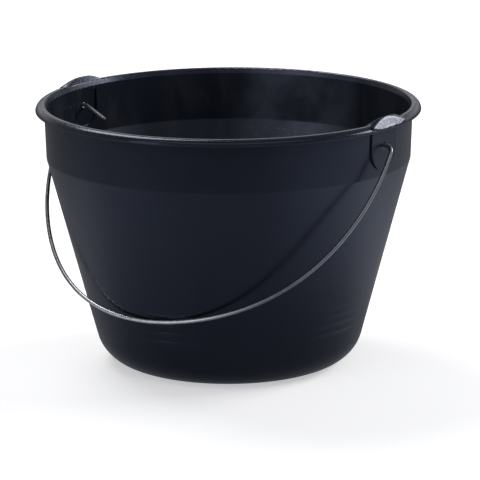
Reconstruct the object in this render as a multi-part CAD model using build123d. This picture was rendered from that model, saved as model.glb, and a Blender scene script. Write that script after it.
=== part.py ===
from build123d import *
import math
import os

# Bucket sizes, in millimetres and degrees
rim_diameter = 330.0
rim_height = 226.0
base_diameter = 216.0
base_rounding = 33.0
band_height = 46.0
band_draft = 2.0
crease_rounding = 6.0
wall_thickness = 2.4
floor_thickness = 3.0
foot_ring_width = 17.5
foot_recess_depth = 2.0
gate_radius = 4.0
gate_height = 0.8

# Lip sizes: the rim is a domed bead that turns out and down all round
lip_width = 7.4
lip_height = 5.6
lip_draft = 9.0
lip_outer_rounding = 5.6
lip_inner_rounding = 1.2
lip_bevel_height = 4.4
lip_bevel_lean = 18.0
lip_root_rounding = 2.4
skirt_edge_rounding = 0.5

# Ear sizes: a round-bottomed pad under an arched, faceted rise of the rim
pad_radius = 18.8
pad_proud = 0.1
pad_edge_rounding = 0.8
pad_drop = 22.5
pivot_drop = 20.0
hump_rise = 5.8
hump_half_length = 25.5
hump_inset = 0.3
hump_seat = 3.2
hump_rounding = 4.8
hump_crest_rounding = 0.8
facet_drop = 5.0
facet_tilt = 27.0
hole_flare = 0.6

# Grip rib sizes: groups of short raised lines round the foot of the wall
rib_count = 4
rib_group_count = 5
rib_group_span = 32.0
rib_group_start = -7.0
rib_pitch = 8.1
rib_lowest = 41.8
rib_proud = 0.45
rib_crest = 1.0
rib_root = 2.6

# Bail sizes: one wire, a circular arc whose centre lies below the pivots
wire_diameter = 3.5
arc_centre_depth = 26.4
bend_radius = 7.5
tail_bend = 24.0
tail_bend_radius = 5.2
tail_length = 27.0
wire_end_rounding = 0.5

# Clearances between the wire and the bucket
hole_clearance = 0.75
swing_clearance = 0.6
rest_clearance = 0.45
hook_clearance = 1.4

# Wall lines that follow from the bucket's sizes
rim_radius = rim_diameter / 2
base_radius = base_diameter / 2
crease_height = rim_height - band_height
lip_underside = rim_height - wall_thickness
lip_bottom = rim_height - lip_height
band_top_radius = rim_radius - lip_width
crease_drop = lip_underside - crease_height
crease_radius = band_top_radius - crease_drop * math.tan(math.radians(band_draft))
cone_slope = (crease_radius - base_radius) / crease_height
cone_angle = math.atan(cone_slope)
cone_stretch = math.hypot(1, cone_slope)
inner_base_radius = base_radius - wall_thickness * cone_stretch
inner_crease_radius = crease_radius - wall_thickness
inner_band_radius = band_top_radius - wall_thickness
floor_top = foot_recess_depth + floor_thickness
flat_radius = base_radius - base_rounding * math.tan(math.pi / 4 - cone_angle / 2)
foot_recess_radius = flat_radius - foot_ring_width
seam_angle = rib_group_start + 1.5 * 360 / rib_group_count

# Rib lines: each is struck about an axis nearer to it, so that its ends sink into the wall
rib_shift = rib_proud / (1 - math.cos(math.radians(rib_group_span / 2)))
rib_sweep = 1.25 * rib_group_span

# Ear lines: the pad stands a little proud of the wall, well inside the lip's edge
face_x = band_top_radius + pad_proud
ear_root_x = inner_band_radius - hump_half_length / 2
pad_height = rim_height - pad_drop
pivot_height = rim_height - pivot_drop
crown_height = rim_height + hump_rise
ear_seat = rim_height - hump_seat
pad_top = rim_height - wall_thickness / 2
bevel_foot = rim_height - lip_bevel_height
bevel_slope = math.tan(math.radians(lip_bevel_lean))
brim_radius = inner_band_radius + lip_bevel_height * bevel_slope
crest_radius = brim_radius + lip_inner_rounding
lip_lean = lip_height * math.tan(math.radians(lip_draft))
facet_foot = rim_height - facet_drop
wire_radius = wire_diameter / 2
hole_radius = wire_radius + hole_clearance
pocket_radius = pad_radius - wall_thickness
pocket_floor_x = face_x - wall_thickness
pocket_top = lip_bottom - wall_thickness

# Bail lines: the arc clears the lip's lower edge at the ears and runs into the bends
swing_x = rim_radius + swing_clearance + wire_radius
swing_height = lip_bottom - pivot_height
arc_radius = math.hypot(swing_x, arc_centre_depth - swing_height)
bail_depth = arc_centre_depth + arc_radius
bend_drop = arc_centre_depth - bend_radius
bend_x = math.sqrt((arc_radius - bend_radius) ** 2 - bend_drop ** 2)

# The bail rests where its crown stops just short of the grip ribs
crown_gap = wire_radius + rib_proud + rest_clearance
wall_reach = (base_radius + cone_slope * pivot_height) / cone_stretch
hang_angle = cone_angle + math.acos((wall_reach + crown_gap) / bail_depth)


def turned(points, rounded):
    """Revolve a closed outline of radius and height about the upright axis."""
    outline = Polyline(*points, close=True)
    sketch = make_face(Plane.XZ * outline)
    for spot, radius in rounded:
        place = Vector(spot[0], 0, spot[1])
        corner = sketch.vertices().sort_by_distance(place)[0]
        sketch = fillet(corner, radius)
    return Rot(0, 0, seam_angle) * revolve(sketch, Axis.Z)


def outside_body():
    """Make the bucket as if it were solid, with its lip turned down all round."""
    corner = (base_radius, 0)
    crease = (crease_radius, crease_height)
    lip_foot = (rim_radius, lip_bottom)
    lip_top = (rim_radius - lip_lean, rim_height)
    lip_root = (rim_radius - wall_thickness, lip_underside)
    points = [
        (0, foot_recess_depth),
        (foot_recess_radius - foot_recess_depth, foot_recess_depth),
        (foot_recess_radius, 0),
        corner,
        crease,
        (band_top_radius, lip_underside),
        lip_root,
        (rim_radius - wall_thickness, lip_bottom),
        lip_foot,
        lip_top,
        (0, rim_height),
    ]
    rounded = [
        (corner, base_rounding),
        (crease, crease_rounding),
        (lip_foot, skirt_edge_rounding),
        (lip_top, lip_outer_rounding),
        (lip_root, lip_root_rounding),
    ]
    return turned(points, rounded)


def inside_space():
    """Make the space that is hollowed out of the bucket, with a rounded brim."""
    corner = (inner_base_radius + cone_slope * floor_top, floor_top)
    crease = (inner_crease_radius, crease_height)
    brim = (brim_radius, rim_height)
    above = crown_height + hump_rise
    points = [
        (0, floor_top),
        corner,
        crease,
        (inner_band_radius, bevel_foot),
        brim,
        (crest_radius, rim_height),
        (crest_radius, above),
        (0, above),
    ]
    rounded = [
        (corner, base_rounding - wall_thickness),
        (crease, crease_rounding),
        (brim, lip_inner_rounding),
    ]
    return turned(points, rounded)


def u_shape(radius, top):
    """Draw a round-bottomed upright panel, at the root of the ear."""
    plate = Pos(0, (pad_height + top) / 2) * Rectangle(2 * radius, top - pad_height)
    panel = plate + Pos(0, pad_height) * Circle(radius)
    return Pos(ear_root_x, 0, 0) * (Plane.YZ * panel)


def outward(profile, end_x):
    """Carry an ear profile outwards, along X, as far as a given plane."""
    return extrude(profile, end_x - ear_root_x, dir=(1, 0, 0))


def ear_pad():
    """Make the flat, round-bottomed pad that carries one end of the bail."""
    pad = outward(u_shape(pad_radius, pad_top), face_x)
    outer_edges = pad.faces().sort_by(Axis.X)[-1].edges()
    return fillet(outer_edges, pad_edge_rounding)


def ear_hump():
    """Make the arched rise of the rim above one pad, with a sloping lens on its outside."""
    near = (-hump_half_length, rim_height)
    far = (hump_half_length, rim_height)
    arch = ThreePointArc(near, (0, crown_height), far)
    sides = Polyline(far, (hump_half_length, ear_seat), (-hump_half_length, ear_seat), near)
    profile = Pos(ear_root_x, 0, 0) * (Plane.YZ * make_face(arch + sides))
    hump = outward(profile, rim_radius) - ear_facet()
    slope = hump.faces().sort_by(Axis.X)[-1]
    hump = fillet(slope.edges().sort_by(Axis.Z)[-1], hump_rounding)
    tall = 8 * lip_height
    inner_edge = inner_band_radius + hump_inset
    hump = hump & Pos(0, 0, rim_height) * Cylinder(rim_radius - hump_inset, tall)
    slant = Cone(inner_edge, inner_edge + tall * bevel_slope, tall)
    hump = hump - Pos(0, 0, bevel_foot + tall / 2) * Rot(0, 0, 90) * slant
    inside = hump.faces().filter_by(GeomType.CONE)[0]
    crest = inside.edges().filter_by(lambda edge: edge.center().Z > rim_height)
    return fillet(crest, hump_crest_rounding)


def ear_facet():
    """Make the wedge that slices a sloping lens off the outside of the raised rim."""
    tilt = math.radians(facet_tilt)
    slope = Vector(-math.sin(tilt), math.cos(tilt))
    foot = Vector(rim_radius, facet_foot)
    low = foot - slope * lip_height
    high = foot + slope * (3 * lip_height)
    outer = rim_radius + lip_width
    corners = [low, high, Vector(outer, high.Y), Vector(outer, low.Y)]
    wedge = Plane.XZ * make_face(Polyline(*corners, close=True))
    return extrude(wedge, hump_half_length + lip_width, both=True)


def ear_cuts():
    """Make what is cut away at one ear behind the pad: its pocket and the wire hole."""
    pocket = outward(u_shape(pocket_radius, pocket_top), pocket_floor_x)
    along = Rot(0, 90, 0)
    hole = Pos(face_x, 0, pivot_height) * along * Cylinder(hole_radius, 4 * wall_thickness)
    flare = along * Cone(hole_radius, hole_radius + hole_flare, hole_flare)
    flare = Pos(face_x - hole_flare / 2, 0, pivot_height) * flare
    return pocket + hole + flare


def grip_ribs():
    """Make the groups of raised lines low on the wall, each sinking into it at both ends."""
    ribs = []
    for group in range(rib_group_count):
        middle = Rot(0, 0, rib_group_start - group * 360 / rib_group_count)
        for step in range(rib_count):
            height = rib_lowest + step * rib_pitch
            radius = base_radius + cone_slope * height - rib_shift
            root_lean = cone_slope * rib_root
            crest_lean = cone_slope * rib_crest / 2
            outline = [
                (radius - root_lean - rib_proud, height - rib_root),
                (radius - crest_lean + rib_proud, height - rib_crest / 2),
                (radius + crest_lean + rib_proud, height + rib_crest / 2),
                (radius + root_lean - rib_proud, height + rib_root),
            ]
            section = Plane.XZ * make_face(Polyline(*outline, close=True))
            rib = Rot(0, 0, -rib_sweep / 2) * revolve(section, Axis.Z, rib_sweep)
            ribs.append(middle * Pos(rib_shift, 0, 0) * rib)
    return ribs


def bucket():
    """Join the moulded bucket from its outside, pads and ribs, hollow it and add the humps."""
    pad = ear_pad()
    hump = ear_hump()
    cuts = ear_cuts()
    half_turn = Rot(0, 0, 180)
    body = outside_body() + [pad, half_turn * pad]
    body = body + grip_ribs()
    body = body - inside_space()
    body = body + [hump, half_turn * hump]
    body = body - cuts - half_turn * cuts
    gate = Cylinder(gate_radius, gate_height)
    return body + Pos(0, 0, foot_recess_depth - gate_height / 2) * gate


def bail():
    """Bend one wire from hooked end to hooked end, then hang it at its rest."""
    lean = math.atan2(bend_drop, bend_x)
    turn = math.pi / 2 - lean
    foot = Vector(bend_x, 0)
    middle = Vector(bend_x, bend_radius)
    bend_mid = middle + Vector(math.sin(turn / 2), -math.cos(turn / 2)) * bend_radius
    bend_end = middle + Vector(math.sin(turn), -math.cos(turn)) * bend_radius
    crown = Vector(0, bail_depth)
    inner = Vector(pocket_floor_x - hook_clearance, 0)
    swing = math.radians(tail_bend)
    hook = inner + Vector(0, tail_bend_radius)
    hook_mid = hook - Vector(math.sin(swing / 2), math.cos(swing / 2)) * tail_bend_radius
    hook_end = hook - Vector(math.sin(swing), math.cos(swing)) * tail_bend_radius
    tip = hook_end + Vector(-math.cos(swing), math.sin(swing)) * tail_length
    side = [
        Line(tip, hook_end),
        ThreePointArc(hook_end, hook_mid, inner),
        Line(inner, foot),
        ThreePointArc(foot, bend_mid, bend_end),
    ]
    other_side = [edge.mirror(Plane.YZ) for edge in side]
    arc = ThreePointArc(bend_end, crown, Vector(-bend_end.X, bend_end.Y))
    path = Wire(side + [arc] + other_side)
    start = Plane(origin=tip, z_dir=hook_end - tip)
    wire = sweep(start * Circle(wire_radius), path)
    ends = wire.faces().filter_by(GeomType.PLANE)
    wire = fillet(ends.edges(), wire_end_rounding)
    hang = Rot(math.degrees(hang_angle) - 180, 0, 0)
    return Pos(0, 0, pivot_height) * hang * wire


os.makedirs("parts", exist_ok=True)
export_step(bucket(), "parts/bucket_body.step")
export_step(bail(), "parts/wire_bail.step")
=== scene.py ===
import logging
import math
from dataclasses import dataclass, field
from enum import Enum
from typing import Any, Optional, Union

import bpy
import numpy as np
from mathutils import Matrix, Vector


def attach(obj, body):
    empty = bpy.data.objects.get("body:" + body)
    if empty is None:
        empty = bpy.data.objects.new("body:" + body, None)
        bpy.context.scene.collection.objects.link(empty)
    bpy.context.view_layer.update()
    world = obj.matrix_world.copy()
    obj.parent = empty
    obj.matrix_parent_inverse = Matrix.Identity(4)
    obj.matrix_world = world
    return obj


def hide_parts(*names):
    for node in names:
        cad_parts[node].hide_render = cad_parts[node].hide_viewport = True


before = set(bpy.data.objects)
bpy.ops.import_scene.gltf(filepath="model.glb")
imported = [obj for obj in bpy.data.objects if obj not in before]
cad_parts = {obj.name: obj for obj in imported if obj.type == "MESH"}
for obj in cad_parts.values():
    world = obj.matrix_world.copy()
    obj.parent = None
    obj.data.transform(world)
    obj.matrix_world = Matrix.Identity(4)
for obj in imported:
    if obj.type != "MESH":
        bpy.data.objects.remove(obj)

LOG = logging.getLogger("cement_bucket")
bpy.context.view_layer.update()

Colour = tuple[float, float, float]
Number = Union[int, float]
Span = tuple[float, float]

WHITE: Colour = (1.0, 1.0, 1.0)


class Space(Enum):
    """The coordinates that a finish can read."""

    OBJECT = "Object"
    LENGTHWISE = "UV"


@dataclass(frozen=True)
class Mottle:
    """A noise pattern: blobs per unit of length, octaves, their strength, and a twist."""

    scale: float
    detail: float = 3.0
    rough: float = 0.5
    warp: float = 0.0


@dataclass(frozen=True)
class Relief:
    """A bump: how strongly it is felt, and what a height of 1 stands for in metres."""

    strength: float
    depth: float


class Graph:
    """The node tree of one material or world, with short ways to add to it."""

    def __init__(self, tree: bpy.types.NodeTree) -> None:
        """Empty the tree and remember it."""
        tree.nodes.clear()
        self.tree = tree

    def add(self, kind: str, settings: Optional[dict[str, Any]] = None,
            **values: Any) -> bpy.types.Node:
        """Add one node.

        Args:
            kind: The node's type.
            settings: Properties of the node, which are set before its sockets.
            values: Socket values or links, with spaces in names written as underscores and
                a socket's number written as _0, _1 and so on.

        Returns:
            The new node.
        """
        node = self.tree.nodes.new(kind)
        for name, value in (settings or {}).items():
            setattr(node, name, value)
        for name, value in values.items():
            numbered = name[1:].isdigit()
            key: Union[int, str] = int(name[1:]) if numbered else name.replace("_", " ")
            self.put(value, node.inputs[key])
        return node

    def put(self, value: Any, socket: bpy.types.NodeSocket) -> None:
        """Link or set one socket.

        Args:
            value: A Shade, a socket, a number, a colour or a vector.
            socket: The input that takes it.
        """
        if isinstance(value, Shade):
            value = value.socket
        if isinstance(value, bpy.types.NodeSocket):
            self.tree.links.new(value, socket)
        elif socket.type == "RGBA":
            socket.default_value = (*value, 1.0)
        else:
            socket.default_value = value

    def shade(self, node: bpy.types.Node, output: Union[int, str] = 0) -> "Shade":
        """Wrap one output of a node so that it can be used in an expression."""
        return Shade(self, node.outputs[output])

    def place(self, space: Space) -> "Shade":
        """Give the coordinates of the surface in one space."""
        return self.shade(self.add("ShaderNodeTexCoord"), space.value)

    def parts(self, vector: "Shade") -> tuple["Shade", "Shade", "Shade"]:
        """Split a vector into its three numbers."""
        node = self.add("ShaderNodeSeparateXYZ", Vector=vector)
        return self.shade(node, 0), self.shade(node, 1), self.shade(node, 2)

    def join(self, x: Any, y: Any, z: Any) -> "Shade":
        """Make a vector from three numbers."""
        return self.shade(self.add("ShaderNodeCombineXYZ", X=x, Y=y, Z=z))

    def stretched(self, x: "Shade", y: "Shade", z: "Shade", stretch: Span) -> "Shade":
        """Make a vector that is multiplied by one number across and by another upwards."""
        across, up = stretch
        return self.join(x * across, y * across, z * up)

    def noise(self, vector: "Shade", mottle: Mottle) -> "Shade":
        """Read a noise pattern at a vector, as a value from 0 to 1."""
        node = self.add("ShaderNodeTexNoise", Vector=vector, Scale=mottle.scale,
                        Detail=mottle.detail, Roughness=mottle.rough, Distortion=mottle.warp)
        return self.shade(node, "Fac")

    def cells(self, vector: "Shade", scale: float) -> "Shade":
        """Divide space into Voronoi cells, each with its own value from 0 to 1."""
        node = self.add("ShaderNodeTexVoronoi", Vector=vector, Scale=scale)
        return self.parts(self.shade(node, "Color"))[0]

    def blend(self, factor: Any, first: Any, second: Any) -> "Shade":
        """Mix two colours, from the first at 0 to the second at 1."""
        node = self.add("ShaderNodeMix", {"data_type": "RGBA"}, _0=factor, _6=first, _7=second)
        return self.shade(node, 2)

    def scaled(self, colour: Any, factor: Any) -> "Shade":
        """Make a colour brighter or darker by a factor."""
        node = self.add("ShaderNodeVectorMath", {"operation": "SCALE"}, _0=colour, Scale=factor)
        return self.shade(node)

    def bump(self, height: "Shade", relief: Relief, under: Optional["Shade"] = None) -> "Shade":
        """Turn a height into a normal.

        Args:
            height: The height, from 0 to 1.
            relief: The bump's strength and depth.
            under: A normal that this bump lies on.

        Returns:
            The new normal.
        """
        node = self.add("ShaderNodeBump", Strength=relief.strength, Distance=relief.depth,
                        Height=height)
        if under is not None:
            self.put(under, node.inputs["Normal"])
        return self.shade(node)


class Shade:
    """One socket's value in an expression of shader maths."""

    def __init__(self, graph: Graph, socket: bpy.types.NodeSocket) -> None:
        """Remember the graph and the socket."""
        self.graph = graph
        self.socket = socket

    def _math(self, operation: str, *values: Any, clamp: bool = False) -> "Shade":
        """Add a Math node.

        Args:
            operation: What the node does.
            values: The numbers or Shades that it takes, in order.
            clamp: Whether the result is kept between 0 and 1.

        Returns:
            The node's result.
        """
        settings = {"operation": operation, "use_clamp": clamp}
        sockets = {f"_{index}": value for index, value in enumerate(values)}
        return self.graph.shade(self.graph.add("ShaderNodeMath", settings, **sockets))

    def __add__(self, other: Any) -> "Shade":
        """Add."""
        return self._math("ADD", self, other)

    def __radd__(self, other: Any) -> "Shade":
        """Add, from the right."""
        return self._math("ADD", other, self)

    def __sub__(self, other: Any) -> "Shade":
        """Subtract."""
        return self._math("SUBTRACT", self, other)

    def __rsub__(self, other: Any) -> "Shade":
        """Subtract from a number."""
        return self._math("SUBTRACT", other, self)

    def __mul__(self, other: Any) -> "Shade":
        """Multiply."""
        return self._math("MULTIPLY", self, other)

    def __rmul__(self, other: Any) -> "Shade":
        """Multiply, from the right."""
        return self._math("MULTIPLY", other, self)

    def __truediv__(self, other: Any) -> "Shade":
        """Divide."""
        return self._math("DIVIDE", self, other)

    def __rtruediv__(self, other: Any) -> "Shade":
        """Divide a number by this."""
        return self._math("DIVIDE", other, self)

    def __pow__(self, other: Any) -> "Shade":
        """Raise to a power."""
        return self._math("POWER", self, other)

    def __rpow__(self, other: Any) -> "Shade":
        """Raise a number to this power."""
        return self._math("POWER", other, self)

    def larger(self, other: Any) -> "Shade":
        """Take the larger of two values."""
        return self._math("MAXIMUM", self, other)

    def smaller(self, other: Any) -> "Shade":
        """Take the smaller of two values."""
        return self._math("MINIMUM", self, other)

    def clamped(self) -> "Shade":
        """Keep the value between 0 and 1."""
        return self._math("ADD", self, 0.0, clamp=True)

    def ramp(self, low: Number, high: Number) -> "Shade":
        """Rise smoothly with the value.

        Args:
            low: Where the result is 0.
            high: Where the result is 1. It may lie below low, and then the result falls.

        Returns:
            The share of the way from low to high, squared times 3 less twice the share.
        """
        share = ((self - low) / (high - low)).clamped()
        return share * share * (3.0 - 2.0 * share)

    def band(self, low: Number, high: Number, edge: float) -> "Shade":
        """Be 1 between two values and fall smoothly to 0 over an edge outside them."""
        return self.ramp(low - edge, low) * self.ramp(high + edge, high)

    def between(self, first: Any, second: Any) -> "Shade":
        """Run from the first value, where this is 0, to the second, where it is 1."""
        return first + (second - first) * self


def new_material(name: str) -> tuple[bpy.types.Material, Graph]:
    """Make an empty material.

    Args:
        name: The material's name.

    Returns:
        The material and the graph of its nodes.
    """
    made = bpy.data.materials.new(name)
    made.use_nodes = True
    return made, Graph(made.node_tree)


def from_axis(x: Shade, y: Shade) -> Shade:
    """Give the distance from the upright axis, kept just above 0 so that it can divide."""
    return (x * x + y * y + 1e-6) ** 0.5


def flat_part(x: Shade, y: Shade, way: Vector) -> Shade:
    """Give how far a place lies along a level direction."""
    return x * way.x + y * way.y


@dataclass(frozen=True)
class BucketMaps:
    """Places, patterns and masks on the bucket, shared by its colour, gloss and relief.

    The patterns and masks run from 0 to 1. Wall is 0 near the axis, inside is 1 on the inner
    wall, outside is 1 on the outer wall, and rim is 1 on the top of the lip.
    """

    x: Shade
    y: Shade
    z: Shade
    radius: Shade
    cloud: Shade
    drag: Shade
    grain: Shade
    fleck: Shade
    waves: Shade
    streak: Shade
    patch: Shade
    broken: Shade
    wall: Shade
    inside: Shade
    outside: Shade
    rim: Shade


@dataclass(frozen=True)
class MouldedPlastic:
    """Blue-black moulded polyolefin: semi-gloss, faintly streaked, scuffed where it is handled.

    Lengths are in metres. A stretch multiplies a pattern's place across and upwards.
    """

    name: str = "black_moulded_plastic"
    dark: Colour = (0.0082, 0.0102, 0.0170)
    light: Colour = (0.0118, 0.0146, 0.0225)
    film: Colour = (0.036, 0.040, 0.050)
    # Painted reflection on the inner back wall, drawn as a pale patch of dried cement.
    pale_cement_and_reflection: Colour = (0.088, 0.096, 0.125)
    # Painted glints in that reflection, drawn as white dots of dried cement.
    glint_dots: Colour = (0.40, 0.40, 0.42)
    # Scuffs, and a painted highlight along the foot of the lip.
    scuff_and_highlight: Colour = (0.06, 0.061, 0.066)
    gloss: float = 0.2
    refraction: float = 1.5
    specular: float = 0.5
    tint: Colour = (0.68, 0.76, 1.0)
    # Slow cloudiness of recycled plastic, fine grain, flecks, and the patches that wear comes in.
    cloud: Mottle = Mottle(16.0, 4.0, 0.55, 0.8)
    grain: Mottle = Mottle(1400.0, 2.0)
    fleck: Mottle = Mottle(330.0, 3.0, 0.6)
    patch: Mottle = Mottle(22.0, 3.0, 0.6)
    # Thin upright drag lines left by the mould, slow waves in the wall, and runs of cement film.
    drag: Mottle = Mottle(1.6, 4.0, 0.6)
    drag_stretch: Span = (34.0, 3.0)
    waves: Mottle = Mottle(2.6, 2.0, 0.4)
    wave_stretch: Span = (1.0, 1.0)
    streak: Mottle = Mottle(1.7, 3.0, 0.5, 0.3)
    streak_stretch: Span = (4.2, 12.0)
    # Thin level scratches from handling.
    scratch: Mottle = Mottle(1.0, 3.0, 0.6, 0.4)
    scratch_stretch: Span = (60.0, 900.0)
    # How far the patterns stand out.
    wave_relief: Relief = Relief(0.12, 0.002)
    grain_relief: Relief = Relief(0.10, 0.00008)
    fleck_relief: Relief = Relief(0.12, 0.0004)
    drag_relief: Relief = Relief(0.06, 0.0003)
    # Where the masks lie: round the axis, on the rim, along the foot of its lip, and at the base.
    axis_fade: Span = (0.078, 0.102)
    rim_span: Span = (0.220, 0.224)
    # The painted highlight along the foot of the lip lies here.
    lip_highlight_heights: Span = (0.2204, 0.2212)
    lip_highlight_fade: float = 0.0004
    lip_highlight_span: Span = (0.1635, 0.1645)
    foot_height: float = 0.012
    # The outer wall, how far under it the inside starts, and the heights where marks fade.
    cone_foot: float = 0.108
    cone_slope: float = 0.2671
    band_foot: float = 0.1561
    band_slope: float = 0.035
    crease_height: float = 0.18
    skin: Span = (0.0008, 0.0016)
    floor_fade: Span = (0.03, 0.06)
    upper_wall: Span = (0.075, 0.12)
    # Painted reflection on the inner back wall, drawn as dried cement with painted glints as dots.
    # The reflection's middle as a level direction, its edge, and the top of its painted glints.
    reflection_patch_way: Span = (-0.185, 0.983)
    reflection_patch_edge: Span = (0.90, 0.985)
    glint_dot_top: Span = (0.178, 0.172)
    # Where in a pattern a mark starts and is full.
    cloud_marks: Span = (0.3, 0.7)
    broken_marks: Span = (0.35, 0.6)
    streak_marks: Span = (0.42, 0.68)
    # Where the painted glints start and are full.
    glint_dot_marks: Span = (0.63, 0.70)
    scratch_marks: Span = (0.6, 0.78)
    patch_marks: Span = (0.45, 0.7)
    fleck_marks: Span = (0.36, 0.64)
    # How much a mark covers, or how much from its least to its most.
    rim_wear: float = 0.55
    foot_wear: float = 0.5
    wall_wear: float = 0.16
    broken_cover: Span = (0.35, 1.0)
    film_cover: Span = (0.04, 0.46)
    # How much the painted reflection and its painted glints cover.
    reflection_patch_cover: Span = (0.55, 1.0)
    glint_dot_cover: float = 0.7
    # How much the scuffs and the painted lip highlight cover.
    scuff_and_highlight_cover: float = 0.5
    # How much rougher it gets: by patterns, and where it is worn, inside and high outside.
    cloud_rough: float = 0.07
    drag_rough: float = 0.10
    fleck_rough: float = 0.10
    worn_rough: float = 0.12
    inside_rough: float = 0.08
    upper_rough: float = 0.07

    def material(self) -> bpy.types.Material:
        """Build the material.

        Returns:
            A material on Object coordinates, for the bucket's CAD mesh.
        """
        made, graph = new_material(self.name)
        maps = self._maps(graph)
        wear_and_highlight = self._wear_and_lip_highlight(graph, maps)
        shader = graph.add("ShaderNodeBsdfPrincipled", Base_Color=self._colour(graph, maps, wear_and_highlight),
                           Roughness=self._roughness(maps, wear_and_highlight), Normal=self._normal(graph, maps),
                           IOR=self.refraction, Specular_IOR_Level=self.specular,
                           Specular_Tint=self.tint)
        graph.add("ShaderNodeOutputMaterial", Surface=shader.outputs[0])
        return made

    def _maps(self, graph: Graph) -> BucketMaps:
        """Read the patterns and work out the masks.

        Args:
            graph: The material's nodes.

        Returns:
            What the colour, gloss and relief share.
        """
        spot = graph.place(Space.OBJECT)
        x, y, z = graph.parts(spot)
        radius = from_axis(x, y)
        round_x, round_y = x / radius, y / radius
        patch = graph.noise(spot, self.patch)
        # Patterns that run round the wall fade out before they meet at the axis.
        wall = radius.ramp(*self.axis_fade)
        inside = self._inside(radius, z)
        return BucketMaps(
            x=x, y=y, z=z, radius=radius,
            cloud=graph.noise(spot, self.cloud),
            drag=graph.noise(graph.stretched(round_x, round_y, z, self.drag_stretch), self.drag),
            grain=graph.noise(spot, self.grain),
            fleck=graph.noise(spot, self.fleck),
            waves=graph.noise(graph.stretched(round_x, round_y, z, self.wave_stretch), self.waves),
            streak=graph.noise(graph.stretched(round_x, round_y, z, self.streak_stretch),
                               self.streak),
            patch=patch,
            broken=patch.ramp(*self.broken_marks).between(*self.broken_cover),
            wall=wall,
            inside=inside,
            outside=(1.0 - inside) * wall,
            rim=z.ramp(*self.rim_span),
        )

    def _inside(self, radius: Shade, z: Shade) -> Shade:
        """Be 1 on the inner wall and 0 outside.

        Args:
            radius: Distance from the bucket's axis.
            z: Height above the floor.

        Returns:
            How surely the spot lies deeper than the outer wall, which is a cone up to the crease
            and a steeper band above it.
        """
        cone = self.cone_foot + self.cone_slope * z
        band = self.band_foot + self.band_slope * (z - self.crease_height)
        depth = cone.smaller(band) - radius
        return depth.ramp(*self.skin) * z.ramp(*self.floor_fade)

    def _wear_and_lip_highlight(self, graph: Graph, maps: BucketMaps) -> Shade:
        """Work out handling scratches, thickest on rim and foot, and a painted highlight on the
        lip.

        Args:
            graph: The material's nodes.
            maps: Patterns and masks.

        Returns:
            How worn the spot is, with the painted lip highlight added, from 0 to about 1.
        """
        place = graph.stretched(maps.x, maps.y, maps.z, self.scratch_stretch)
        scratch = graph.noise(place, self.scratch)
        foot = maps.z.ramp(self.foot_height, 0.0)
        handled = maps.rim * self.rim_wear + foot * self.foot_wear + self.wall_wear
        marks = scratch.ramp(*self.scratch_marks) * maps.patch.ramp(*self.patch_marks)
        # A painted highlight along the foot of the lip, where its lower edge catches light.
        lip_highlight = maps.z.band(*self.lip_highlight_heights, self.lip_highlight_fade) * maps.radius.ramp(*self.lip_highlight_span)
        return handled * marks + lip_highlight * maps.broken

    def _colour(self, graph: Graph, maps: BucketMaps, wear_and_highlight: Shade) -> Shade:
        """Lay the colours: clouded plastic, cement film, a painted reflection with glints low on
        it, scuffs.

        Args:
            graph: The material's nodes.
            maps: Patterns and masks.
            wear_and_highlight: How worn the spot is, with the painted lip highlight.

        Returns:
            The base colour.
        """
        colour = graph.blend(maps.cloud.ramp(*self.cloud_marks), self.dark, self.light)
        film = maps.streak.ramp(*self.streak_marks).between(*self.film_cover)
        colour = graph.blend(maps.inside * film, colour, self.film)
        nearness = (maps.x * self.reflection_patch_way[0] + maps.y * self.reflection_patch_way[1]) / maps.radius
        # A painted reflection on the inner back wall, drawn as a pale patch of dried cement.
        reflection_patch = maps.inside * (nearness.ramp(*self.reflection_patch_edge) * maps.broken)
        colour = graph.blend(reflection_patch * maps.streak.between(*self.reflection_patch_cover), colour, self.pale_cement_and_reflection)
        # Painted glints in that reflection, drawn as white dots low on it.
        painted_glints = reflection_patch * maps.fleck.ramp(*self.glint_dot_marks) * maps.z.ramp(*self.glint_dot_top)
        colour = graph.blend(painted_glints * self.glint_dot_cover, colour, self.glint_dots)
        # Scuffs, and the painted highlight along the foot of the lip.
        return graph.blend(wear_and_highlight.clamped() * self.scuff_and_highlight_cover, colour, self.scuff_and_highlight)

    def _roughness(self, maps: BucketMaps, wear_and_highlight: Shade) -> Shade:
        """Vary the gloss: flecked on the rim, and duller where worn, inside and high outside.

        Args:
            maps: Patterns and masks.
            wear_and_highlight: How worn the spot is, with the painted lip highlight.

        Returns:
            The roughness.
        """
        flecks = maps.fleck.ramp(*self.fleck_marks)
        upper = maps.outside * (1.0 - maps.rim) * maps.z.ramp(*self.upper_wall)
        rough = self.gloss + self.cloud_rough * (maps.cloud - 0.5)
        rough = rough + self.drag_rough * maps.outside * (maps.drag - 0.5)
        rough = rough + self.fleck_rough * maps.rim * (flecks - 0.5)
        rough = rough + self.worn_rough * wear_and_highlight + self.inside_rough * maps.inside
        return (rough + self.upper_rough * upper).clamped()

    def _normal(self, graph: Graph, maps: BucketMaps) -> Shade:
        """Stack the bumps: waves in the wall, grain, flecks on the rim, and drag lines outside.

        Args:
            graph: The material's nodes.
            maps: Patterns and masks.

        Returns:
            The normal.
        """
        normal = graph.bump(maps.waves * maps.wall, self.wave_relief)
        normal = graph.bump(maps.grain, self.grain_relief, normal)
        normal = graph.bump(maps.fleck * maps.rim, self.fleck_relief, normal)
        return graph.bump(maps.drag * maps.outside, self.drag_relief, normal)


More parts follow.
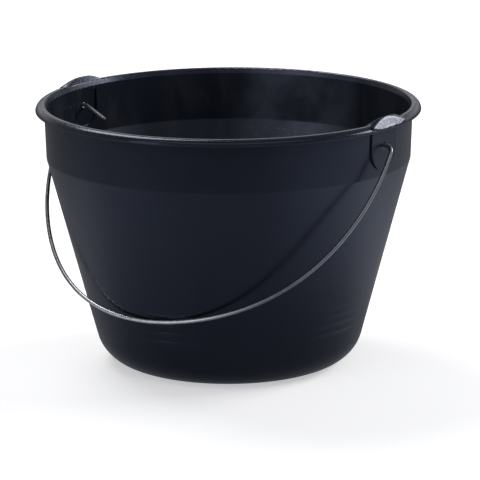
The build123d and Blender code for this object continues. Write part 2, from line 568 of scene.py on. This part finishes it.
@dataclass(frozen=True)
class GalvanisedWire:
    """Zinc-coated drawn steel wire: weathered grey and painted shade, polished at its carried
    crown.

    Lengths are in metres from the nearer end of the wire.
    """

    name: str = "galvanised_steel_wire"
    bright: Colour = (0.95, 0.95, 0.97)
    dull: Colour = (0.74, 0.75, 0.78)
    grime: Colour = (0.055, 0.056, 0.060)
    # Weathered grey, which also serves as painted shade on the bail's sides away from the crown.
    weathered_and_shaded: Colour = (0.21, 0.215, 0.23)
    gloss: float = 0.32
    hook_span: Span = (0.042, 0.034)
    # Where the polished crown gives way to the weathered grey and its painted shade.
    polish_and_shade_span: Span = (0.205, 0.31)
    # Zinc spangle, clouding, lines left by the drawing die, and pits.
    spangle_scale: float = 420.0
    cloud: Mottle = Mottle(60.0, 3.0, 0.6)
    lines: Mottle = Mottle(1.0, 3.0, 0.6)
    lines_along: float = 60.0
    lines_around: float = 40.0
    pits: Mottle = Mottle(900.0, 2.0)
    line_relief: Relief = Relief(0.2, 0.00008)
    pit_relief: Relief = Relief(0.15, 0.00006)
    # Where in a pattern a mark starts and is full, and how much it covers from least to most.
    tone_marks: Span = (0.2, 0.8)
    pit_marks: Span = (0.62, 0.74)
    dirty_marks: Span = (0.5, 0.75)
    weather_and_shade_cover: Span = (0.80, 1.05)
    hook_cover: Span = (0.55, 1.0)
    grime_cover: float = 0.6
    # How much rougher it gets, and what dirt leaves of the metal.
    spangle_rough: float = 0.12
    line_rough: float = 0.10
    dirt_rough: float = 0.3
    carried_rough: float = -0.04
    dirty_metal: float = 0.2

    def material(self) -> bpy.types.Material:
        """Build the material.

        Returns:
            A material on the wire's lengthwise map: u is metres from the nearer end, where the
            hook is dull with dried cement, and v runs from 0 to 1 around.
        """
        made, graph = new_material(self.name)
        from_end, turn, _ = graph.parts(graph.place(Space.LENGTHWISE))
        spot = graph.place(Space.OBJECT)
        spangle = graph.cells(spot, self.spangle_scale)
        cloud = graph.noise(spot, self.cloud)
        drawn = graph.join(from_end * self.lines_along, turn * self.lines_around, 0.0)
        lines = graph.noise(drawn, self.lines)
        pits = graph.noise(spot, self.pits)
        carried = from_end.ramp(*self.polish_and_shade_span)
        hooked = from_end.ramp(*self.hook_span)
        tone = (0.5 * spangle + 0.5 * cloud).ramp(*self.tone_marks)
        metal = graph.blend(tone, self.dull, self.bright)
        # Weathering away from the crown, which also paints shade on the bail's sides.
        weather_and_shade = (1.0 - carried) * cloud.between(*self.weather_and_shade_cover)
        metal = graph.blend(weather_and_shade, metal, self.weathered_and_shaded)
        dirt = pits.ramp(*self.pit_marks) * cloud.ramp(*self.dirty_marks)
        dirt = dirt.larger(hooked * cloud.between(*self.hook_cover))
        colour = graph.blend(dirt * self.grime_cover, metal, self.grime)
        rough = self.gloss + self.spangle_rough * (spangle - 0.5)
        rough = rough + self.line_rough * (lines - 0.5)
        rough = rough + self.dirt_rough * dirt + self.carried_rough * carried
        normal = graph.bump(lines, self.line_relief)
        normal = graph.bump(pits, self.pit_relief, normal)
        shader = graph.add("ShaderNodeBsdfPrincipled", Base_Color=colour,
                           Metallic=dirt.between(1.0, self.dirty_metal),
                           Roughness=rough.clamped(), Normal=normal)
        graph.add("ShaderNodeOutputMaterial", Surface=shader.outputs[0])
        return made


@dataclass(frozen=True)
class PaleFloor:
    """A pale floor that the camera sees as white and that keeps the object's shadow.

    Lengths are in metres from the bucket's axis. A facing runs from -1, away, to 1, towards.
    """

    name: str = "pale_floor"
    colour: Colour = (0.8, 0.8, 0.8)
    shade: Colour = (0.12, 0.12, 0.12)
    # Light of its own for the camera, near the bucket and added far away.
    lift: float = 0.49
    far_lift: float = 0.4
    lift_span: Span = (0.7, 2.2)
    # The pool of light that gloss sees.
    cool: Colour = (0.77, 0.83, 1.0)
    before: float = 0.345
    under_share: float = 0.5
    under_span: Span = (0.11, 0.34)
    on_right: float = 0.54
    right_facing: Span = (0.2, 1.0)
    on_left: float = 0.20
    left_facing: Span = (-0.2, -1.0)
    side_span: Span = (0.14, 0.42)
    behind_share: float = 0.32
    behind_facing: Span = (0.1, -0.7)
    far_share: float = 0.55
    far_span: Span = (0.35, 0.9)

    def material(self, right: Vector, front: Vector) -> bpy.types.Material:
        """Build the material: darker to other rays, with a little light of its own for the camera.

        Args:
            right: The level direction to the camera's right.
            front: The level direction towards the camera.

        Returns:
            The floor's material.
        """
        made, graph = new_material(self.name)
        rays = graph.add("ShaderNodeLightPath")
        seen = graph.shade(rays, "Is Camera Ray")
        gloss = graph.shade(rays, "Is Glossy Ray")
        x, y, _ = graph.parts(graph.place(Space.OBJECT))
        radius = from_axis(x, y)
        pool = self._pool(radius, flat_part(x, y, right) / radius, flat_part(x, y, front) / radius)
        shown = self.lift + self.far_lift * radius.ramp(*self.lift_span)
        hue = graph.blend(gloss, WHITE, self.cool)
        light = graph.scaled(hue, seen * shown + gloss * pool)
        glow = graph.add("ShaderNodeEmission", Color=light, Strength=1.0)
        colour = graph.blend(seen, self.shade, self.colour)
        plain = graph.add("ShaderNodeBsdfDiffuse", Color=colour)
        both = graph.add("ShaderNodeAddShader", _0=plain.outputs[0], _1=glow.outputs[0])
        graph.add("ShaderNodeOutputMaterial", Surface=both.outputs[0])
        return made

    def _pool(self, radius: Shade, aside: Shade, ahead: Shade) -> Shade:
        """Work out the pool of light round the object that shows in gloss.

        Args:
            radius: Distance from the bucket's axis.
            aside: How far the place faces the camera's right.
            ahead: How far the place faces the camera.

        Returns:
            A level that fades under the object, behind it and far away, and is paler to its right
            and left than before it.
        """
        sides = self.on_right * aside.ramp(*self.right_facing)
        sides = sides + self.on_left * aside.ramp(*self.left_facing)
        level = self.before * radius.ramp(*self.under_span).between(self.under_share, 1.0)
        level = level + sides * radius.ramp(*self.side_span)
        level = level * ahead.ramp(*self.behind_facing).between(1.0, self.behind_share)
        return level * radius.ramp(*self.far_span).between(1.0, self.far_share)


@dataclass(frozen=True)
class Surroundings:
    """White walls to the camera, and to light and gloss a studio with a dim front.

    Levels are shares of white. A facing runs from -1, away from the camera, to 1, towards it, and
    a height from 0, level, to 1, straight up.
    """

    name: str = "studio"
    cast: Colour = (0.975, 0.985, 1.05)
    side_level: float = 0.25
    # Behind the bucket, dim with a brighter strip low down.
    dim_level: float = 0.3
    back_level: float = 0.66
    back_facing: Span = (-0.55, -0.85)
    back_heights: Span = (0.17, 0.32)
    back_fade: float = 0.07
    front_level: float = 0.27
    front_facing: Span = (-0.35, 0.45)
    top_level: float = 0.16
    top_heights: Span = (0.75, 0.4)
    # A window high in front.
    window_level: float = 0.9
    window_facing: Span = (0.24, 0.42)
    window_heights: Span = (0.70, 0.84)
    window_fade: float = 0.06
    # A round glint, placed by how far it is turned from the camera to the right and raised.
    glint_level: float = 1.1
    glint_turn: float = math.radians(-52.0)
    glint_rise: float = math.radians(17.0)
    glint_edge: Span = (0.955, 0.99)

    def world(self, right: Vector, front: Vector) -> bpy.types.World:
        """Build the world.

        Args:
            right: The level direction to the camera's right.
            front: The level direction towards the camera.

        Returns:
            The world.
        """
        made = bpy.data.worlds.new(self.name)
        made.use_nodes = True
        graph = Graph(made.node_tree)
        level = self._level(graph, right, front)
        rays = graph.add("ShaderNodeLightPath")
        through = graph.shade(rays, "Is Transmission Ray")
        seen = graph.shade(rays, "Is Camera Ray").larger(through)
        hue = graph.blend(seen, self.cast, WHITE)
        shown = graph.scaled(hue, seen.between(level, 1.0))
        light = graph.add("ShaderNodeBackground", Color=shown, Strength=1.0)
        graph.add("ShaderNodeOutputWorld", Surface=light.outputs[0])
        return made

    def _level(self, graph: Graph, right: Vector, front: Vector) -> Shade:
        """Work out how bright the studio is in each direction.

        Args:
            graph: The world's nodes.
            right: The level direction to the camera's right.
            front: The level direction towards the camera.

        Returns:
            The level: back, sides, front and top run into each other, and the window and the
            glint are added.
        """
        x, y, z = graph.parts(graph.place(Space.OBJECT))
        facing = flat_part(x, y, front)
        strip = z.band(*self.back_heights, self.back_fade)
        behind = strip.between(self.dim_level, self.back_level)
        level = facing.ramp(*self.back_facing).between(self.side_level, behind)
        level = facing.ramp(*self.front_facing).between(level, self.front_level)
        level = z.ramp(*self.top_heights).between(self.top_level, level)
        window = facing.ramp(*self.window_facing) * z.band(*self.window_heights, self.window_fade)
        level = level + self.window_level * window
        glint = right * math.sin(self.glint_turn) + front * math.cos(self.glint_turn)
        glint = glint * math.cos(self.glint_rise)
        nearness = flat_part(x, y, glint) + z * math.sin(self.glint_rise)
        return level + self.glint_level * nearness.ramp(*self.glint_edge)


@dataclass
class BucketBody:
    """The moulded bucket. Its CAD solid is the right shape, so it is only dressed."""

    node: str = "bucket_body"
    finish: MouldedPlastic = field(default_factory=MouldedPlastic)

    def dress(self) -> bpy.types.Object:
        """Put the finish on the CAD node.

        Returns:
            The CAD node's object.
        """
        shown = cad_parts[self.node]
        shown.data.materials.clear()
        shown.data.materials.append(self.finish.material())
        return shown


def distances(line: np.ndarray) -> np.ndarray:
    """Give each point's distance along a line, as the sum of the steps before it."""
    steps = np.linalg.norm(np.diff(line, axis=0), axis=1)
    return np.concatenate([[0.0], np.cumsum(steps)])


def unit(vectors: np.ndarray) -> np.ndarray:
    """Bring rows of vectors to length 1."""
    return vectors / np.linalg.norm(vectors, axis=1, keepdims=True)


def cell_corners(grid: np.ndarray) -> np.ndarray:
    """Give the four corners of each cell of a grid in order round the cell."""
    return np.stack([grid[:-1, :-1], grid[1:, :-1], grid[1:, 1:], grid[:-1, 1:]], axis=2)


def straight_run(start: np.ndarray, end: np.ndarray, step: float) -> np.ndarray:
    """Trace a straight run, as start plus a share of the way to the end.

    Args:
        start: First point.
        end: Last point.
        step: About how far apart the points are.

    Returns:
        Points, one row each.
    """
    count = max(3, int(np.linalg.norm(end - start) / step))
    share = np.linspace(0.0, 1.0, count)[:, None]
    return start + share * (end - start)


def round_bend(centre: np.ndarray, radius: float, first: float, last: float,
               step: float) -> np.ndarray:
    """Trace an arc, as centre plus radius times the cosine and sine of an angle.

    Args:
        centre: The arc's centre.
        radius: The arc's radius.
        first: Angle of the first point.
        last: Angle of the last point.
        step: About how far apart the points are.

    Returns:
        Points, one row each.
    """
    count = max(5, int(radius * abs(last - first) / step))
    angle = np.linspace(first, last, count)
    return centre + radius * np.stack([np.cos(angle), np.sin(angle)], axis=1)


@dataclass
class WireBail:
    """The bail: one wire from hooked end to hooked end, bent by hand and so not quite even.

    Lengths are in metres. Sway and bow are the heights of the waves that the hand left, in the
    bail's plane and out of it, by half waves between the two bends.
    """

    body: str = "bail"
    node: str = "wire_bail"
    slot: str = "galvanised_wire"
    finish: GalvanisedWire = field(default_factory=GalvanisedWire)
    wire_radius: float = 0.00175
    pivot_height: float = 0.206
    hang: float = math.radians(49.3908)
    arc_radius: float = 0.16778
    arc_depth: float = 0.0264
    bend_radius: float = 0.0075
    hook_x: float = 0.1539
    hook_radius: float = 0.0052
    hook_angle: float = math.radians(24.0)
    tail_length: float = 0.027
    ear_run: float = 0.014
    end_rounding: float = 0.0012
    least_width: float = 0.02
    sway: tuple[float, ...] = (-0.00116, -0.00028, -0.00073, 0.00077, -0.00064, -0.00058)
    bow: tuple[float, ...] = (0.00014, 0.00045, 0.00164)
    path_step: float = 0.0004
    rings: int = 900
    sides: int = 16

    def half_path(self) -> np.ndarray:
        """Trace one side of the bail in its own plane.

        The line runs from the tip along the straight tail, round the hook, straight through the
        ear, round the bend, and along a circular arc to the crown.

        Returns:
            Points of across and down, from the tip to the crown, one row each.
        """
        quarter = math.pi / 2
        step = self.path_step
        drop = self.arc_depth - self.bend_radius
        bend_x = math.sqrt((self.arc_radius - self.bend_radius) ** 2 - drop ** 2)
        lean = math.atan2(drop, bend_x)
        sine, cosine = math.sin(self.hook_angle), math.cos(self.hook_angle)
        hook = np.array([self.hook_x, self.hook_radius])
        hook_end = hook - self.hook_radius * np.array([sine, cosine])
        tip = hook_end + self.tail_length * np.array([-cosine, sine])
        bend = np.array([bend_x, self.bend_radius])
        crown_centre = np.array([0.0, self.arc_depth])
        pieces = [
            straight_run(tip, hook_end, step),
            round_bend(hook, self.hook_radius, -quarter - self.hook_angle, -quarter, step),
            straight_run(np.array([self.hook_x, 0.0]), np.array([bend_x, 0.0]), step),
            round_bend(bend, self.bend_radius, -quarter, -lean, step),
            round_bend(crown_centre, self.arc_radius, -lean, quarter, step),
        ]
        return np.concatenate([piece[:-1] for piece in pieces[:-1]] + [pieces[-1]])

    def path(self) -> np.ndarray:
        """Carry the plane line from tip to tip into the row frame.

        The half line is mirrored, spaced evenly, and moved by two sums of sines of the share of
        the length between the two bends: sway along its own normal, and bow out of its plane.

        Returns:
            Points in metres, one row each.
        """
        half = self.half_path()
        whole = np.concatenate([half, half[-2::-1] * np.array([-1.0, 1.0])])
        length = distances(whole)
        even = np.linspace(0.0, length[-1], self.rings)
        plane = np.stack([np.interp(even, length, whole[:, 0]),
                          np.interp(even, length, whole[:, 1])], axis=1)
        ends = self.tail_length + self.hook_radius * self.hook_angle + self.ear_run
        share = np.clip((even - ends) / (length[-1] - 2 * ends), 0.0, 1.0)
        along = unit(np.gradient(plane, axis=0))
        normal = np.stack([along[:, 1], -along[:, 0]], axis=1)
        orders = np.arange(1, 1 + max(len(self.sway), len(self.bow)))
        waves = np.sin(math.pi * share[:, None] * orders)
        plane = plane + normal * (waves[:, :len(self.sway)] @ np.array(self.sway))[:, None]
        down = plane[:, 1]
        hung = np.stack([plane[:, 0], -down * math.cos(self.hang),
                         self.pivot_height - down * math.sin(self.hang)], axis=1)
        return hung + (waves[:, :len(self.bow)] @ np.array(self.bow))[:, None] * self.across()

    def across(self) -> np.ndarray:
        """Give the direction out of the bail's plane."""
        return np.array([0.0, math.sin(self.hang), -math.cos(self.hang)])

    def build(self) -> bpy.types.Object:
        """Sweep a circle along the path.

        A ring is centre plus radius times (cosine of turn times sideways plus sine of turn times
        the plane's normal). The radius falls over the rounded ends as a quarter circle.

        Returns:
            The wire's object, which stands for the CAD wire and swings with the bail.
        """
        line = self.path()
        across = self.across()
        side = unit(np.cross(unit(np.gradient(line, axis=0)), across))
        length = distances(line)
        from_end = np.minimum(length, length[-1] - length)
        rounding = np.clip(1.0 - from_end / self.end_rounding, 0.0, 1.0)
        width = self.wire_radius * np.sqrt(np.clip(1.0 - rounding ** 2, self.least_width, 1.0))
        angle = np.linspace(0.0, 2 * math.pi, self.sides, endpoint=False)[None, :, None]
        ring = np.cos(angle) * side[:, None, :] + np.sin(angle) * across
        points = line[:, None, :] + width[:, None, None] * ring
        wire = bpy.data.objects.new("bail_wire", self._mesh(points, from_end))
        bpy.context.scene.collection.objects.link(wire)
        wire.data.materials.append(self.finish.material())
        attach(wire, self.body)
        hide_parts(self.node)
        return wire

    @staticmethod
    def _mesh(points: np.ndarray, from_end: np.ndarray) -> bpy.types.Mesh:
        """Close a grid of rings into a wire.

        Args:
            points: Ring by side by three.
            from_end: Distance of each ring from the nearer end of the wire.

        Returns:
            The mesh, with a lengthwise map of distance from the end and share of the turn.
        """
        rings, sides = points.shape[:2]
        index = np.arange(rings * sides).reshape(rings, sides)
        quads = cell_corners(np.concatenate([index, index[:, :1]], axis=1)).reshape(-1, 4)
        caps = [index[0].tolist(), index[-1][::-1].tolist()]
        mesh = bpy.data.meshes.new("bent_wire")
        mesh.from_pydata(points.reshape(-1, 3), [], quads.tolist() + caps)
        around = np.arange(sides + 1) / sides
        u, v = np.broadcast_arrays(from_end[:, None], around[None, :])
        map_u = np.concatenate([cell_corners(u).reshape(-1), np.repeat(from_end[[0, -1]], sides)])
        map_v = np.concatenate([cell_corners(v).reshape(-1), np.tile(around[:-1], 2)])
        flat = np.stack([map_u, map_v], axis=1).astype(np.float32)
        layer = mesh.uv_layers.new(name="lengthwise")
        layer.data.foreach_set("uv", flat.reshape(-1))
        mesh.polygons.foreach_set("use_smooth", np.ones(len(mesh.polygons), dtype=bool))
        mesh.update()
        return mesh


@dataclass(frozen=True)
class Lamp:
    """One soft box, placed by how far it is to the right of, in front of and above the bucket."""

    name: str
    right: float
    front: float
    up: float
    width: float
    height: float
    power: float


@dataclass
class Studio:
    """Camera, lamps, surroundings and floor."""

    turn: float = math.radians(35.0)
    tilt: float = math.radians(13.62)
    roll: float = math.radians(-0.35)
    distance: float = 2.7589
    aim: tuple[float, float, float] = (0.0, 0.0, 0.105)
    focal_pixels: float = 3194.6
    image_pixels: float = 480.0
    centre_pixels: tuple[float, float] = (229.09, 238.95)
    sensor_width: float = 36.0
    far_clip: float = 100.0
    surroundings: Surroundings = field(default_factory=Surroundings)
    floor_finish: PaleFloor = field(default_factory=PaleFloor)
    floor_size: float = 30.0
    floor_gap: float = 0.0002
    lamps: tuple[Lamp, ...] = (
        Lamp("side_strip", 1.52, -0.45, 0.95, 1.15, 0.52, 17.5),
        Lamp("top_box", -0.72, -0.85, 1.8, 1.0, 1.0, 19.0),
    )

    def axes(self) -> tuple[Vector, Vector]:
        """Find the photograph's level directions.

        Returns:
            The directions to the camera's right and towards the camera.
        """
        sine, cosine = math.sin(self.turn), math.cos(self.turn)
        return Vector((cosine, sine, 0.0)), Vector((sine, -cosine, 0.0))

    def add_camera(self) -> None:
        """Place the camera at the photograph's angle and set it as the scene's own."""
        right, front = self.axes()
        back = front * math.cos(self.tilt) + Vector((0.0, 0.0, math.sin(self.tilt)))
        up = back.cross(right)
        turned = Matrix((right, up, back)).transposed() @ Matrix.Rotation(self.roll, 3, "Z")
        data = bpy.data.cameras.new("photo_camera")
        data.sensor_fit = "HORIZONTAL"
        data.sensor_width = self.sensor_width
        data.lens = self.focal_pixels / self.image_pixels * self.sensor_width
        data.shift_x = 0.5 - self.centre_pixels[0] / self.image_pixels
        data.shift_y = self.centre_pixels[1] / self.image_pixels - 0.5
        data.clip_end = self.far_clip
        camera = bpy.data.objects.new("photo_camera", data)
        place = Vector(self.aim) + back * self.distance
        camera.matrix_world = Matrix.Translation(place) @ turned.to_4x4()
        bpy.context.scene.collection.objects.link(camera)
        bpy.context.scene.camera = camera

    def add_lamps(self) -> None:
        """Place the soft boxes, each turned to the middle of the bucket."""
        right, front = self.axes()
        target = Vector(self.aim)
        for lamp in self.lamps:
            data = bpy.data.lights.new(lamp.name, "AREA")
            data.shape = "RECTANGLE"
            data.size = lamp.width
            data.size_y = lamp.height
            data.energy = lamp.power
            light = bpy.data.objects.new(lamp.name, data)
            light.location = right * lamp.right + front * lamp.front + Vector((0.0, 0.0, lamp.up))
            light.rotation_euler = (target - light.location).to_track_quat("-Z", "Y").to_euler()
            bpy.context.scene.collection.objects.link(light)

    def add_floor(self) -> None:
        """Lay a level square under the bucket as a two by two grid of corners."""
        half = self.floor_size / 2
        across = np.array([-half, half])
        grid_x, grid_y = np.meshgrid(across, across)
        grid_z = np.full_like(grid_x, -self.floor_gap)
        mesh = bpy.data.meshes.new("floor")
        mesh.from_pydata(np.stack([grid_x, grid_y, grid_z], axis=2).reshape(-1, 3), [],
                         [(0, 1, 3, 2)])
        floor = bpy.data.objects.new("floor", mesh)
        floor.data.materials.append(self.floor_finish.material(*self.axes()))
        bpy.context.scene.collection.objects.link(floor)

    def build(self) -> None:
        """Set up everything that isn't part of the object."""
        self.add_camera()
        self.add_lamps()
        bpy.context.scene.world = self.surroundings.world(*self.axes())
        self.add_floor()
        bpy.context.scene.view_settings.view_transform = "Standard"


def main() -> None:
    """Build the studio, dress the bucket and bend the wire."""
    logging.basicConfig(level=logging.INFO, format="%(name)s: %(message)s")
    Studio().build()
    body = BucketBody().dress()
    LOG.info("dressed %s", body.name)
    wire = WireBail().build()
    LOG.info("built %s with %d faces", wire.name, len(wire.data.polygons))


if __name__ == "__main__":
    main()
